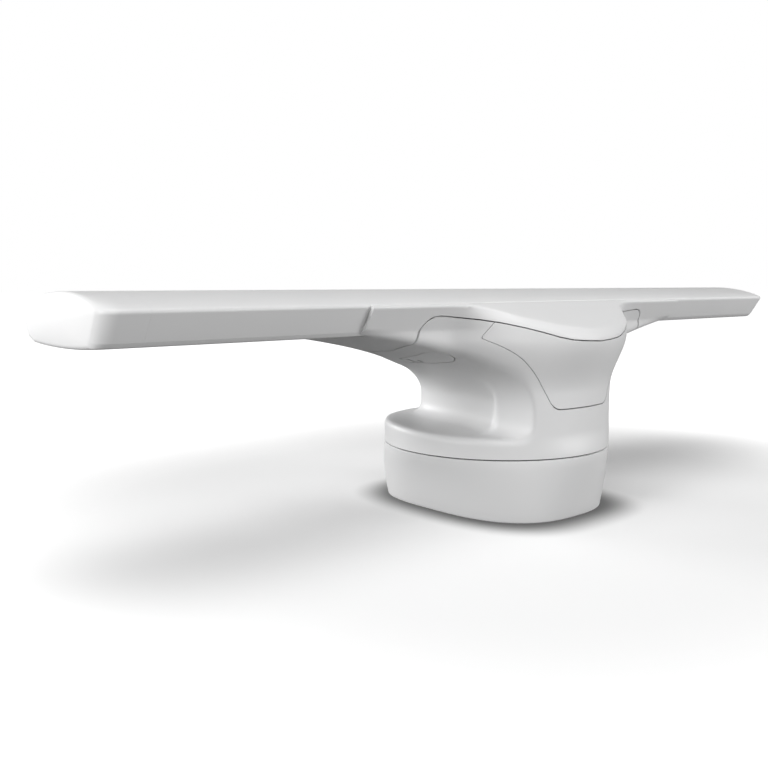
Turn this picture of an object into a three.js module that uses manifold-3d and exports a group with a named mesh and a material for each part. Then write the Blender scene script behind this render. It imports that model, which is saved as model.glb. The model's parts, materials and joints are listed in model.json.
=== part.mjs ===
// Open-array marine radar scanner: a fixed base pan, and a turret on a spindle that carries a long
// antenna beam and turns without end above it.
//
// Frame, in millimetres: origin at the middle of the pan's mounting face, +Z up, the beam along X,
// the turret's nose towards -Y. Heights inside the turret are counted from the seam above the pan.
import * as THREE from 'three';
import { mergeVertices } from 'three/addons/utils/BufferGeometryUtils.js';
import Module from 'manifold-3d';

const wasm = await Module();
wasm.setup();

// ---- driving dimensions -------------------------------------------------------------------------
const GAP = 0.4;                 // between pieces that touch
const WALL = 4;                  // thickness of the moulded shells

const SEAM_Z = 94;               // height of the turning seam between pan and turret
const SEAM_R = 175;              // radius of that seam
const SEAM_GAP = 2;              // width of the groove there
const FOOT_HALF_X = 132;         // pan outline at the floor: a squarish oval, squarer at the back
const FOOT_FRONT_Y = 159.5;
const FOOT_BACK_Y = 163.5;
const FOOT_FRONT_POWER = 2.75;
const FOOT_BACK_POWER = 3.35;

const SHELF_Z = 22;              // drum height under the side scoops, at the front of the turret
const SHELF_RISE = 13;           // how much higher the shelf is at the back
const WAIST_Z = 57;              // height where the neck is narrowest
const WAIST_HALF_X = 91;         // half width of the front wall there
const POCKET = 27;               // how much narrower the neck is behind the front wall
const NECK_BACK_Y = 140;         // back of the neck at the waist
const NECK_BACK_POWER = 3;

const BEAM_HALF_X = 690;
const BEAM_TOP_HALF_Y = 106;     // along the upper edge of the beam's front and back faces
const BEAM_LOW_HALF_Y = 85;      // along their lower edge
const BEAM_EDGE_Z = 219;         // heights above the seam
const BEAM_LOW_Z = 186;
const BEAM_KEEL_Z = 177.5;
const BEAM_RIDGE_Z = 236.5;
const BEAM_WALL = 3;
const CAP_X = 640;               // where the end caps begin
const CAP_CORNER = 50;           // plan radius of the beam's corners

const HUB_HALF_X = 352;          // the fairing round the middle of the beam
const HUB_PROUD = 3.5;           // how far it stands off the beam's faces
const ARM_LOW_HALF_Y = 88;
const NOSE_REACH = 81;           // how far the nose stands in front of the beam
const NOSE_HALF_X = 235;
const NOSE_TIP_Z = 180;
const SEAM_SHOULDER_X = 239;     // the seam between fairing and turret, seen from the front
const SEAM_SHOULDER_Z = 202;
const SEAM_SIDE_X = 262;
const SEAM_TIP_Z = 165;

const SPINDLE_R = 18;
const SPINDLE_BORE = 12;
const BEARING_R = 40;
const GEAR_MODULE = 3;
const GEAR_TEETH = 56;
const PINION_TEETH = 10;
const GEAR_Z = [70, 79];
const MOTOR_TOP = 60;
const MOTOR_Y = GEAR_MODULE * (GEAR_TEETH + PINION_TEETH) / 2;

// ---- materials ----------------------------------------------------------------------------------
const finish = (color, roughness, metalness) => new THREE.MeshStandardMaterial({ color, roughness, metalness });
const WHITE = finish(0xeeeeee, 0.35, 0);
const RUBBER = finish(0x1a1a1a, 0.8, 0);
const ALUMINIUM = finish(0xb8babd, 0.45, 1);
const STEEL = finish(0x8d9094, 0.3, 1);
const BRASS = finish(0xb69a58, 0.35, 1);
const DARK_PLASTIC = finish(0x25272a, 0.5, 0);
const BOARD = finish(0x1d5a36, 0.6, 0);

// ---- solids -------------------------------------------------------------------------------------
const scanner = new THREE.Group();

function add(name, geometry, material, position = [0, 0, 0], rotation = [0, 0, 0]) {
  const mesh = new THREE.Mesh(geometry, material);
  mesh.name = name;
  mesh.position.set(...position);
  mesh.rotation.set(...rotation);
  scanner.add(mesh);
  return mesh;
}

function bare(geometry) {
  geometry.deleteAttribute('normal');
  geometry.deleteAttribute('uv');
  return mergeVertices(geometry, 1e-4);
}

function solid(geometry) {
  const merged = bare(geometry);
  return new wasm.Manifold(new wasm.Mesh({
    numProp: 3,
    vertProperties: new Float32Array(merged.attributes.position.array),
    triVerts: new Uint32Array(merged.index.array),
  }));
}

function skin(manifold) {
  const mesh = manifold.getMesh();
  const geometry = new THREE.BufferGeometry();
  geometry.setAttribute('position', new THREE.BufferAttribute(mesh.vertProperties, 3));
  geometry.setIndex(new THREE.BufferAttribute(mesh.triVerts, 1));
  return geometry;
}

const moved = (geometry, x, y, z) => geometry.translate(x, y, z);

function lathe(profile, segments = 18) {
  const points = profile.concat([profile[0]]).map(([r, z]) => new THREE.Vector2(r, z));
  return new THREE.LatheGeometry(points, segments).rotateX(Math.PI / 2);
}

function disc(radius, low, high, segments = 16) {
  const height = high - low;
  const geometry = new THREE.CylinderGeometry(radius, radius, height, segments).rotateX(Math.PI / 2);
  return moved(geometry, 0, 0, low + height / 2);
}

const ring = (inner, outer, low, high, segments = 18) =>
  lathe([[inner, low], [outer, low], [outer, high], [inner, high]], segments);

function block(x0, x1, y0, y1, z0, z1) {
  const geometry = new THREE.BoxGeometry(x1 - x0, y1 - y0, z1 - z0);
  return moved(geometry, (x0 + x1) / 2, (y0 + y1) / 2, (z0 + z1) / 2);
}

// A closed skin through rings of points, each ring seen counter-clockwise from the far end.
function loft(rings) {
  const count = rings[0].length;
  const points = rings.flat();
  const faces = [];
  for (let level = 0; level + 1 < rings.length; level++) {
    for (let i = 0; i < count; i++) {
      const a = level * count + i;
      const b = level * count + (i + 1) % count;
      faces.push(a, b, b + count, a, b + count, a + count);
    }
  }
  const middle = (row) => row.reduce((sum, p) => sum.add(p), new THREE.Vector3()).divideScalar(count);
  const start = points.push(middle(rings[0])) - 1;
  const end = points.push(middle(rings.at(-1))) - 1;
  const last = (rings.length - 1) * count;
  for (let i = 0; i < count; i++) {
    const next = (i + 1) % count;
    faces.push(start, next, i, end, last + i, last + next);
  }
  const geometry = new THREE.BufferGeometry().setFromPoints(points);
  geometry.setIndex(faces);
  return geometry;
}

function outline(points) {
  return new THREE.Shape(points.map(([u, v]) => new THREE.Vector2(u, v)));
}

function extruded(shape, from, to) {
  const geometry = new THREE.ExtrudeGeometry(shape, { depth: to - from, bevelEnabled: false, curveSegments: 6 });
  return moved(geometry, 0, 0, from);
}

// An outline drawn in (x, z), pushed along Y from one value to another.
const alongY = (shape, from, to) => extruded(shape, -to, -from).rotateX(Math.PI / 2);

// An outline drawn in (y, z), pushed along X.
const alongX = (shape, from, to) => extruded(shape, from, to).rotateX(Math.PI / 2).rotateZ(Math.PI / 2);

const mix = (a, b, t) => a + (b - a) * t;
const step = (from, to, value) => THREE.MathUtils.smoothstep(value, from, to);
const angles = (count) => Array.from({ length: count }, (_, i) => 2 * Math.PI * i / count);

// ---- base pan -----------------------------------------------------------------------------------
function panRing(z, inset) {
  const up = z / SEAM_Z;
  const halfX = mix(FOOT_HALF_X, SEAM_R, up) - inset;
  return angles(36).map((angle) => {
    const c = Math.cos(angle);
    const s = Math.sin(angle);
    const halfY = mix(s < 0 ? FOOT_FRONT_Y : FOOT_BACK_Y, SEAM_R, up) - inset;
    const power = mix(s < 0 ? FOOT_FRONT_POWER : FOOT_BACK_POWER, 2, up);
    const size = (Math.abs(c / halfX) ** power + Math.abs(s / halfY) ** power) ** (-1 / power);
    return new THREE.Vector3(size * c, size * s, z);
  });
}

const PAN_TOP = SEAM_Z - SEAM_GAP / 2;
const PAN_FLOOR = 5;
const DECK_Z = PAN_FLOOR + GAP;   // what stands on the pan's floor starts here
const FOOT_SPOTS = [[-90, -105], [90, -105], [-90, 105], [90, 105]];
const PANEL_Y = 172;             // the flat connector panel on the pan's back wall
const PANEL_HALF_X = 78;
const PANEL_HALF_Z = 20;
const FITTING_Y = PANEL_Y + GAP; // what is fixed on the panel starts here
const SOCKET_Z = 44;
const SOCKET_X = { power: -34, data: 34 };
const SWITCH_X = 0;
const VENT_X = 64;
const EARTH_X = -64;

function rearBore(x, radius) {
  return moved(disc(radius, -200, -135).rotateX(Math.PI / 2), x, 0, SOCKET_Z);
}

function basePan() {
  const wall = solid(loft([[0, 2], [2, 0], [PAN_TOP, 0]].map(([z, inset]) => panRing(z, inset))));
  const panel = solid(block(-PANEL_HALF_X, PANEL_HALF_X, 140, PANEL_Y, SOCKET_Z - PANEL_HALF_Z, SOCKET_Z + PANEL_HALF_Z));
  const inside = solid(loft([[PAN_FLOOR, WALL + 4], [9, WALL], [PAN_TOP + 3, WALL]]
    .map(([z, inset]) => panRing(z, inset))));
  let pan = wall.add(panel).subtract(inside);
  for (const [x, y] of FOOT_SPOTS) {
    pan = pan.add(solid(moved(disc(13, PAN_FLOOR - 1, 20, 16), x, y, 0)));
    pan = pan.subtract(solid(moved(disc(8, -1, 15, 16), x, y, 0)));
  }
  pan = pan.subtract(solid(rearBore(SOCKET_X.power, 11)));
  pan = pan.subtract(solid(rearBore(SOCKET_X.data, 11)));
  pan = pan.subtract(solid(block(SWITCH_X - 13, SWITCH_X + 13, 150, 200, SOCKET_Z - 12, SOCKET_Z + 12)));
  pan = pan.subtract(solid(rearBore(VENT_X, 5)));
  pan = pan.subtract(solid(rearBore(EARTH_X, 3.6)));
  return skin(pan);
}

// ---- turret and hub fairing ---------------------------------------------------------------------
// Half width of the front wall and of the arms' lower edges, at a height above the seam.
function creaseHalfX(z) {
  if (z < WAIST_Z) {
    const down = Math.min(1, (WAIST_Z - z) / (WAIST_Z - SHELF_Z));
    return WAIST_HALF_X + 20 * (1 - Math.sqrt(1 - down * down));
  }
  return WAIST_HALF_X + (HUB_HALF_X - WAIST_HALF_X) * ((z - WAIST_Z) / (BEAM_LOW_Z - 2 - WAIST_Z)) ** 3.1;
}

const shelfZ = (x, y) => SHELF_Z + SHELF_RISE * step(-0.2, 0.6, y / Math.hypot(x, y, 1));

// Y of the front wall at (x, z), counted forward: a drum low down, the bell-shaped nose higher up.
function frontReach(x, z) {
  const radius = SEAM_R - 5 * step(0, 34, z);
  const drum = Math.sqrt(Math.max(0, radius * radius - x * x));
  const bell = Math.abs(x) < NOSE_HALF_X ? Math.cos(Math.PI * x / (2 * NOSE_HALF_X)) ** 2 : 0;
  const nose = BEAM_TOP_HALF_Y + HUB_PROUD + NOSE_REACH * bell;
  const wall = mix(drum, nose, step(80, 168, z));
  const slope = BEAM_TOP_HALF_Y + HUB_PROUD + (BEAM_EDGE_Z - z) * NOSE_REACH / (BEAM_EDGE_Z - NOSE_TIP_Z);
  return Math.min(wall, slope);
}

const armReach = (z) => mix(ARM_LOW_HALF_Y, BEAM_TOP_HALF_Y + HUB_PROUD, step(BEAM_LOW_Z - 20, BEAM_EDGE_Z, z));

function insideTurret(x, y, z) {
  const halfX = Math.abs(x);
  if (z <= shelfZ(x, y)) return Math.hypot(x, y) <= SEAM_R;
  if (z > BEAM_LOW_Z - 2) {
    const front = Math.max(frontReach(x, z), armReach(z));
    return halfX <= HUB_HALF_X && y >= -front && y <= armReach(z);
  }
  const across = Math.max(0, 1 - (y / ARM_LOW_HALF_Y) ** 2);
  const pocket = POCKET * step(-95, -35, y) * (1 - step(70, 130, z));
  const half = Math.min(HUB_HALF_X, creaseHalfX(z + 9 * across * step(90, 130, z)) - pocket);
  const front = Math.max(frontReach(x, z), z > 100 ? armReach(z) : 0);
  if (y <= 0) return halfX <= half && y >= -front;
  const arms = step(110, 170, z);
  const back = mix(NECK_BACK_Y, armReach(z), arms);
  const power = mix(NECK_BACK_POWER, 12, arms);
  return (halfX / half) ** power + (y / back) ** power <= 1;
}

function insideWall(x, y, z) {
  const outX = x + Math.sign(x) * WALL;
  const outY = y + Math.sign(y) * WALL;
  return insideTurret(outX, outY, z) && insideTurret(x, y, z - WALL) && insideTurret(x, y, z + WALL);
}

// Half the ring's bearings, from straight ahead to straight back, closer together at the creases.
const HALF_BEARINGS = [0, 12, 23, 30, 34, 40, 50, 61, 70, 74.5, 77.5, 83, 90, 97, 102.5, 105.5, 112, 124, 138,
  155, 180];
const BEARINGS = HALF_BEARINGS.concat(HALF_BEARINGS.slice(1, -1).reverse().map((angle) => 360 - angle));

function turretRing(z, inside) {
  return BEARINGS.map((degrees) => {
    const angle = THREE.MathUtils.degToRad(degrees - 90);
    let low = 5;
    let high = 420;
    for (let pass = 0; pass < 24; pass++) {
      const middle = (low + high) / 2;
      if (inside(middle * Math.cos(angle), middle * Math.sin(angle), z)) low = middle;
      else high = middle;
    }
    return new THREE.Vector3(low * Math.cos(angle), low * Math.sin(angle), z + SEAM_Z);
  });
}

const SKIN_LEVELS = [SEAM_GAP / 2, 21.5, 24, 30, 36, 46, 62, 90, 110, 126, 140, 152, 163, 174, 183.9, 184.1,
  194, BEAM_EDGE_Z];
const HOLLOW_LEVELS = [-3, 16, 19, 26, 31.5, 46, 64, 90, 115, 135, 152, 170, 187.9, 188.1, 214];

function beamShape(offset) {
  const side = [
    [34, BEAM_KEEL_Z - offset],
    [81, BEAM_KEEL_Z + 3 - offset],
    [BEAM_LOW_HALF_Y + offset, BEAM_LOW_Z - offset / 2],
    [BEAM_TOP_HALF_Y + offset, BEAM_EDGE_Z],
    [101 + offset, BEAM_EDGE_Z + 4 + offset / 2],
    [85, BEAM_EDGE_Z + 8 + offset],
    [62, BEAM_RIDGE_Z - 5.5 + offset],
    [40, BEAM_RIDGE_Z - 0.5 + offset],
  ];
  const other = side.map(([y, z]) => [-y, z]).reverse();
  return outline(side.concat(other).map(([y, z]) => [y, z + SEAM_Z]));
}

// The seam between fairing and turret in (x, z), dropped by a little to leave the gap.
function seamLine(drop) {
  const half = [];
  for (let x = 0; x < SEAM_SHOULDER_X; x += 34) {
    const side = Math.sin(Math.PI * x / (2 * SEAM_SHOULDER_X)) ** 2;
    half.push([x, mix(SEAM_TIP_Z, SEAM_SHOULDER_Z, side)]);
  }
  half.push([SEAM_SHOULDER_X, SEAM_SHOULDER_Z], [SEAM_SIDE_X - drop, SEAM_SHOULDER_Z - 24], [SEAM_SIDE_X - drop, 100]);
  const right = half.map(([x, z]) => [x, z + SEAM_Z - drop]);
  return right.slice(1).map(([x, z]) => [-x, z]).reverse().concat(right);
}

// The front cover's outline in (x, z), grown by a little for the opening it closes.
function coverShape(grow) {
  const shape = new THREE.Shape();
  const at = (x, z) => [x, z + SEAM_Z];
  shape.moveTo(...at(-50, 70 - grow));
  shape.lineTo(...at(50, 70 - grow));
  shape.quadraticCurveTo(...at(59 + grow, 70 - grow), ...at(67 + grow, 80));
  shape.quadraticCurveTo(...at(99 + grow, 148), ...at(141 + grow, 170));
  shape.lineTo(...at(136 + grow, 215));
  shape.lineTo(...at(-136 - grow, 215));
  shape.lineTo(...at(-141 - grow, 170));
  shape.quadraticCurveTo(...at(-99 - grow, 148), ...at(-67 - grow, 80));
  shape.quadraticCurveTo(...at(-59 - grow, 70 - grow), ...at(-50, 70 - grow));
  return shape;
}

// The flush plug under each arm, as a teardrop in (x, y).
function plugShape(side, grow) {
  const shape = new THREE.Shape();
  shape.absarc(side * 182, -62, 10 + grow, side > 0 ? Math.PI * 0.62 : Math.PI * 1.62,
    side > 0 ? Math.PI * 1.38 : Math.PI * 2.38, false);
  shape.lineTo(side * (226 + grow), -62);
  return shape;
}

function addTurret() {
  const drum = (x, y) => Math.hypot(x, y) <= SEAM_R - WALL;
  const outer = solid(loft(SKIN_LEVELS.map((z) => turretRing(z, insideTurret))));
  const hollow = solid(loft(HOLLOW_LEVELS.map((z) => turretRing(z, z < SEAM_GAP ? drum : insideWall))));
  const shell = outer.subtract(hollow).subtract(solid(alongX(beamShape(GAP), -HUB_HALF_X - 5, HUB_HALF_X + 5)));
  const upper = outline([...seamLine(0), [400, 190], [400, 400], [-400, 400], [-400, 190]]);
  const lower = outline([...seamLine(GAP), [SEAM_SIDE_X, 60], [-SEAM_SIDE_X, 60]]);
  const body = shell.intersect(solid(alongY(lower, -250, 250)));
  const coverSpan = [-250, -100];
  const plugSpan = [SEAM_Z + 120, SEAM_Z + 170];
  const cover = body.intersect(solid(alongY(coverShape(0), ...coverSpan)));
  let turret = body.subtract(solid(alongY(coverShape(GAP), ...coverSpan)));
  for (const [name, side] of [['left', -1], ['right', 1]]) {
    const plug = turret.intersect(solid(extruded(plugShape(side, 0), ...plugSpan)));
    turret = turret.subtract(solid(extruded(plugShape(side, GAP), ...plugSpan)));
    add(`bolt_plug_${name}`, skin(plug), WHITE);
  }
  add('turret_shell', skin(turret), WHITE);
  add('front_cover', skin(cover), WHITE);
  add('hub_fairing', skin(shell.intersect(solid(alongY(upper, -250, 250)))), WHITE);
}

// ---- beam ---------------------------------------------------------------------------------------
const BOLT_SPOTS = [[-90, -22], [90, -22], [-90, 22], [90, 22]];
const BOLT_R = 4.5;
const FEED_R = 3.5;
const FEED_Z = 295;              // where the feed line turns forward into the waveguide
const HOLE_SLACK = 1;
const BEAM_FLOOR = SEAM_Z + BEAM_KEEL_Z;

function drilled(piece, low, high) {
  let rest = piece;
  for (const [x, y] of BOLT_SPOTS) rest = rest.subtract(solid(moved(disc(BOLT_R + HOLE_SLACK, low, high, 12), x, y, 0)));
  return rest.subtract(solid(disc(FEED_R + HOLE_SLACK, low, high, 12)));
}

function beamShell() {
  const tube = solid(alongX(beamShape(0), -CAP_X, CAP_X));
  const inside = solid(alongX(beamShape(-BEAM_WALL), -CAP_X - 1, CAP_X + 1));
  return skin(drilled(tube.subtract(inside), BEAM_FLOOR - 2, BEAM_FLOOR + 8));
}

// One end cap, for the +X end: the beam's outline drawn in round its corners and out over its face.
function capSkin(offset, start) {
  const centre = BEAM_HALF_X - CAP_CORNER;
  const points = beamShape(offset).getPoints();
  const middleZ = SEAM_Z + 205;
  const ringAt = (x, squeeze) => points.map((p) => {
    const turn = Math.max(0, x - centre) / CAP_CORNER;
    const inward = CAP_CORNER * (1 - Math.sqrt(Math.max(0, 1 - turn * turn)));
    const shrink = 1 - inward / (BEAM_TOP_HALF_Y + offset);
    const bulge = squeeze * 8;
    return new THREE.Vector3(x + bulge, p.x * shrink * (1 - 0.12 * squeeze), mix(p.y, middleZ, 0.2 * squeeze));
  });
  const reach = CAP_CORNER + offset;
  const rings = [ringAt(start, 0)];
  for (const share of [0.3, 0.55, 0.75, 0.9]) rings.push(ringAt(centre + reach * share, 0));
  rings.push(ringAt(centre + reach * 0.94, 0.5));
  return solid(loft(rings));
}

function addEndCap(name, side) {
  const shell = capSkin(0, CAP_X + GAP).subtract(capSkin(-BEAM_WALL, CAP_X - 5));
  const geometry = skin(shell);
  add(name, geometry, WHITE, [0, 0, 0], [0, 0, side > 0 ? 0 : Math.PI]);
}

const GUIDE = { y: [-38, -15], z: [FEED_Z - 5, FEED_Z + 5], wall: 1.5, half: 620 };

function slottedWaveguide() {
  const { y, z, wall, half } = GUIDE;
  let guide = solid(block(-half, half, ...y, ...z));
  guide = guide.subtract(solid(block(-half - 1, half + 1, y[0] + wall, y[1] - wall, z[0] + wall, z[1] - wall)));
  const slots = 20;
  for (let i = 0; i < slots; i++) {
    const slot = block(-1, 1, -2, 2, -3, 3).rotateY(i % 2 ? 0.3 : -0.3);
    guide = guide.subtract(solid(moved(slot, (i - (slots - 1) / 2) * 60, y[0], (z[0] + z[1]) / 2)));
  }
  return skin(guide);
}

function flareHorn() {
  const sheet = outline([
    [-12.6, -7.4], [-12.6, 7.4], [-38, 7.4], [-80, 15], [-80, 13], [-38, 5.6], [-14.4, 5.6],
    [-14.4, -5.6], [-38, -5.6], [-80, -10], [-80, -12], [-38, -7.4],
  ].map(([y, z]) => [y, FEED_Z + z]));
  const port = moved(disc(FEED_R + 2.5, -20, -5, 12).rotateX(-Math.PI / 2), 0, 0, FEED_Z);
  return skin(solid(alongX(sheet, -GUIDE.half, GUIDE.half)).subtract(solid(port)));
}

function arraySpine() {
  const floor = BEAM_FLOOR + BEAM_WALL + 0.6;
  const half = GUIDE.half;
  const profile = outline([
    [-30, floor], [33, floor], [33, floor + 39], [30, floor + 39], [30, floor + 4], [-9, floor + 4],
    [-9, floor + 27], [-12, floor + 27], [-12, floor + 4], [-30, floor + 4],
  ]);
  const port = moved(disc(FEED_R + 2.5, -20, -5, 12).rotateX(-Math.PI / 2), 0, 0, FEED_Z);
  return skin(drilled(solid(alongX(profile, -half, half)), floor - 1, floor + 5).subtract(solid(port)));
}

function feedLine() {
  const path = new THREE.CurvePath();
  const corner = 13;
  path.add(new THREE.LineCurve3(new THREE.Vector3(0, 0, 120.4), new THREE.Vector3(0, 0, FEED_Z - corner)));
  path.add(new THREE.QuadraticBezierCurve3(new THREE.Vector3(0, 0, FEED_Z - corner),
    new THREE.Vector3(0, 0, FEED_Z), new THREE.Vector3(0, -corner, FEED_Z)));
  path.add(new THREE.LineCurve3(new THREE.Vector3(0, -corner, FEED_Z), new THREE.Vector3(0, -14.6, FEED_Z)));
  const section = new THREE.Shape().absarc(0, 0, FEED_R, 0, 2 * Math.PI);
  return new THREE.ExtrudeGeometry(section, { extrudePath: path, steps: 20, curveSegments: 3 });
}

function addBeam() {
  add('beam_shell', beamShell(), WHITE);
  addEndCap('end_cap_left', -1);
  addEndCap('end_cap_right', 1);
  add('slotted_waveguide', slottedWaveguide(), BRASS);
  add('flare_horn', flareHorn(), ALUMINIUM);
  add('array_spine', arraySpine(), ALUMINIUM);
  add('feed_line', feedLine(), STEEL);
}

// ---- hub: what carries the beam inside the turret -------------------------------------------------
const FLANGE_TOP = 256;
const TURNTABLE = [SEAM_Z + 2.4, SEAM_Z + 8];

const oval = (halfX, halfY, z) => angles(24).map((a) =>
  new THREE.Vector3(halfX * Math.cos(a), halfY * Math.sin(a), z));

function hubCasting() {
  const low = TURNTABLE[1] + GAP;
  const foot = solid(loft([oval(56, 84, low), oval(56, 84, low + 6)]));
  const column = solid(loft([oval(44, 72, low), oval(44, 72, FLANGE_TOP - 5)]));
  const hollow = solid(loft([oval(38, 66, low - 1), oval(38, 66, FLANGE_TOP - 10)]));
  const head = solid(block(-120, 120, -60, 60, FLANGE_TOP - 8, FLANGE_TOP));
  return skin(drilled(foot.add(column).add(head).subtract(hollow), FLANGE_TOP - 12, FLANGE_TOP + 1));
}

function arrayBolt() {
  const head = FLANGE_TOP - 8 - GAP;
  const tip = FLANGE_TOP + 27;
  return lathe([[0, head - 9], [8, head - 9], [8, head], [BOLT_R, head], [BOLT_R, tip], [0, tip]], 12);
}

function addHub() {
  add('turntable_plate', ring(13, 164, ...TURNTABLE, 32), ALUMINIUM);
  add('hub_casting', hubCasting(), ALUMINIUM);
  const seat = solid(block(-110, 110, -33, 33, FLANGE_TOP + GAP, BEAM_FLOOR - GAP));
  add('beam_seat', skin(drilled(seat, FLANGE_TOP - 1, BEAM_FLOOR)), ALUMINIUM);
  BOLT_SPOTS.forEach(([x, y], i) => add(`array_bolt_${i + 1}`, arrayBolt(), STEEL, [x, y, 0]));
}

// ---- drive --------------------------------------------------------------------------------------
function gearShape(teeth, bore) {
  const pitch = GEAR_MODULE * teeth / 2;
  const points = [];
  for (let i = 0; i < teeth; i++) {
    for (const [share, height] of [[-0.27, -1.2], [-0.12, 0.8], [0.12, 0.8], [0.27, -1.2]]) {
      const angle = 2 * Math.PI * (i + share) / teeth;
      const radius = pitch + height * GEAR_MODULE;
      points.push([radius * Math.cos(angle), radius * Math.sin(angle)]);
    }
  }
  const shape = outline(points);
  if (bore) shape.holes.push(new THREE.Path().absarc(0, 0, bore, 0, 2 * Math.PI, true));
  return shape;
}

function ringGear() {
  return extruded(gearShape(GEAR_TEETH, SPINDLE_R + 1.3), ...GEAR_Z);
}

function motorPinion() {
  const shaft = solid(disc(5, MOTOR_TOP + GAP, GEAR_Z[0] + 1, 12));
  return skin(solid(extruded(gearShape(PINION_TEETH), ...GEAR_Z)).add(shaft));
}

function motorBracket() {
  const plate = solid(block(-36, 36, 62, 134, MOTOR_TOP + GAP, MOTOR_TOP + 4.4));
  const left = solid(block(-36, -33, 62, 134, DECK_Z, MOTOR_TOP + 1));
  const right = solid(block(33, 36, 62, 134, DECK_Z, MOTOR_TOP + 1));
  return skin(plate.add(left).add(right).subtract(solid(moved(disc(8, 50, 70, 16), 0, MOTOR_Y, 0))));
}

function bearing(name, low) {
  const high = low + 14;
  add(`${name}_bearing_outer`, ring(32, BEARING_R, low, high), STEEL);
  add(`${name}_bearing_inner`, ring(SPINDLE_R + 0.4, 25, low, high), STEEL);
  let cage = solid(ring(27.5, 29.5, low + 4, high - 4, 12));
  for (const angle of angles(6)) {
    const ball = new THREE.OctahedronGeometry(3.1, 0);
    cage = cage.add(solid(moved(ball, 28.5 * Math.cos(angle), 28.5 * Math.sin(angle), low + 7)));
  }
  add(`${name}_ball_cage`, skin(cage), STEEL);
}

function addDrive() {
  const seat = BEARING_R + 0.4;
  add('bearing_housing', lathe([[seat, DECK_Z], [62, DECK_Z], [62, 11], [47, 15], [47, 66], [seat, 66], [seat, 47],
    [36, 47], [36, 27.2], [seat, 27.2]]), ALUMINIUM);
  bearing('lower', 12.8);
  bearing('upper', 47.4);
  add('bearing_circlip', ring(36, BEARING_R, 11, 12.4), STEEL);
  add('spindle', lathe([[SPINDLE_BORE, 6.5], [SPINDLE_R, 6.5], [SPINDLE_R, SEAM_Z - 4],
    [48, SEAM_Z - 4], [48, SEAM_Z + 2], [SPINDLE_BORE, SEAM_Z + 2]]), STEEL);
  add('spindle_nut', ring(SPINDLE_R + 0.6, 25, 7, 12.3, 24), STEEL);
  add('gear_spacer', ring(SPINDLE_R + 0.4, 22, 61.8, GEAR_Z[0] - GAP, 24), STEEL);
  add('ring_gear', ringGear(), STEEL);
  add('index_magnet', moved(disc(4, 67, GEAR_Z[0] - GAP, 12), 0, -74, 0), STEEL);
  add('index_sensor', block(-7, 7, -81, -67, DECK_Z, 66), DARK_PLASTIC);
  add('drive_motor', moved(disc(29, 14, MOTOR_TOP), 0, MOTOR_Y, 0), DARK_PLASTIC);
  add('motor_bracket', motorBracket(), ALUMINIUM);
  add('motor_pinion', motorPinion(), STEEL, [0, MOTOR_Y, 0]);
  add('rotary_joint_stator', lathe([[0, DECK_Z], [11, DECK_Z], [11, 9], [6, 9], [6, 60], [0, 60]], 16), BRASS);
  add('rotary_joint_rotor', lathe([[0, 60.6], [6, 60.6], [6, 106], [11, 106], [11, 120], [0, 120]], 16), BRASS);
}

// ---- electronics --------------------------------------------------------------------------------
function heatSink() {
  const fins = 9;
  const left = -120;
  const pitch = 54 / (fins - 1);
  const points = [[left, 18], [left, DECK_Z]];
  for (let i = 0; i < fins - 1; i++) {
    const x = left + i * pitch;
    points.push([x + 3, DECK_Z], [x + 3, 14], [x + pitch, 14], [x + pitch, DECK_Z]);
  }
  points.push([-63, DECK_Z], [-63, 18]);
  return alongY(outline(points), -62, 62);
}

function powerBoard() {
  let board = solid(block(66, 120, -58, 58, 12, 14));
  board = board.add(solid(block(72, 96, -50, -20, 13, 38)));
  board = board.add(solid(block(98, 117, -46, 4, 13, 30)));
  for (const y of [10, 28, 46]) board = board.add(solid(moved(disc(7, 13, 36, 12), 84, y, 0)));
  return skin(board);
}

function boardTray() {
  const sheet = [[66, DECK_Z], [120, DECK_Z], [120, 11.6], [118, 11.6], [118, 7.4], [68, 7.4], [68, 11.6], [66, 11.6]];
  return alongY(outline(sheet), -58, 58);
}

function addElectronics() {
  add('transceiver_heat_sink', heatSink(), ALUMINIUM);
  add('transceiver_box', block(-126, -66, -62, 62, 18.4, 58), ALUMINIUM);
  add('power_board', powerBoard(), BOARD);
  add('power_board_tray', boardTray(), ALUMINIUM);
}

// ---- pan fittings -------------------------------------------------------------------------------
const turnedBack = (geometry) => geometry.rotateX(-Math.PI / 2);

function addRearFittings() {
  const face = FITTING_Y;
  for (const [name, x] of Object.entries(SOCKET_X)) {
    const socket = lathe([[0, 145], [10.5, 145], [10.5, face], [15, face], [15, face + 5], [8, face + 5],
      [8, face - 9], [0, face - 9]], 18);
    add(`${name}_socket`, turnedBack(socket), DARK_PLASTIC, [x, 0, SOCKET_Z]);
    add(`${name}_socket_nut`, turnedBack(ring(11.2, 15, 154, 159, 16)), STEEL, [x, 0, SOCKET_Z]);
  }
  const vent = lathe([[0, 145], [4.5, 145], [4.5, face], [9, face], [9, face + 3.2], [6, face + 6.2],
    [0, face + 6.2]], 16);
  add('breather_vent', turnedBack(vent), DARK_PLASTIC, [VENT_X, 0, SOCKET_Z]);
  add('earth_stud', turnedBack(disc(3.2, 145, face + 10, 12)), BRASS, [EARTH_X, 0, SOCKET_Z]);
  add('earth_nut', turnedBack(ring(3.6, 7, face, face + 5, 12)), BRASS, [EARTH_X, 0, SOCKET_Z]);
}

function addSwitch() {
  const face = FITTING_Y;
  const neck = solid(block(-12.5, 12.5, face - 16, face + 1, -11.5, 11.5));
  const flange = solid(block(-16, 16, face, face + 3, -15, 15));
  const pocket = solid(block(-8, 8, face - 10.5, face + 10, -8.4, 8.4));
  add('switch_body', skin(neck.add(flange).subtract(pocket)), DARK_PLASTIC, [SWITCH_X, 0, SOCKET_Z]);
  add('switch_rocker', block(-7.5, 7.5, face - 7.5, face + 5, -6, 6), RUBBER, [SWITCH_X, 0, SOCKET_Z]);
}

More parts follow.
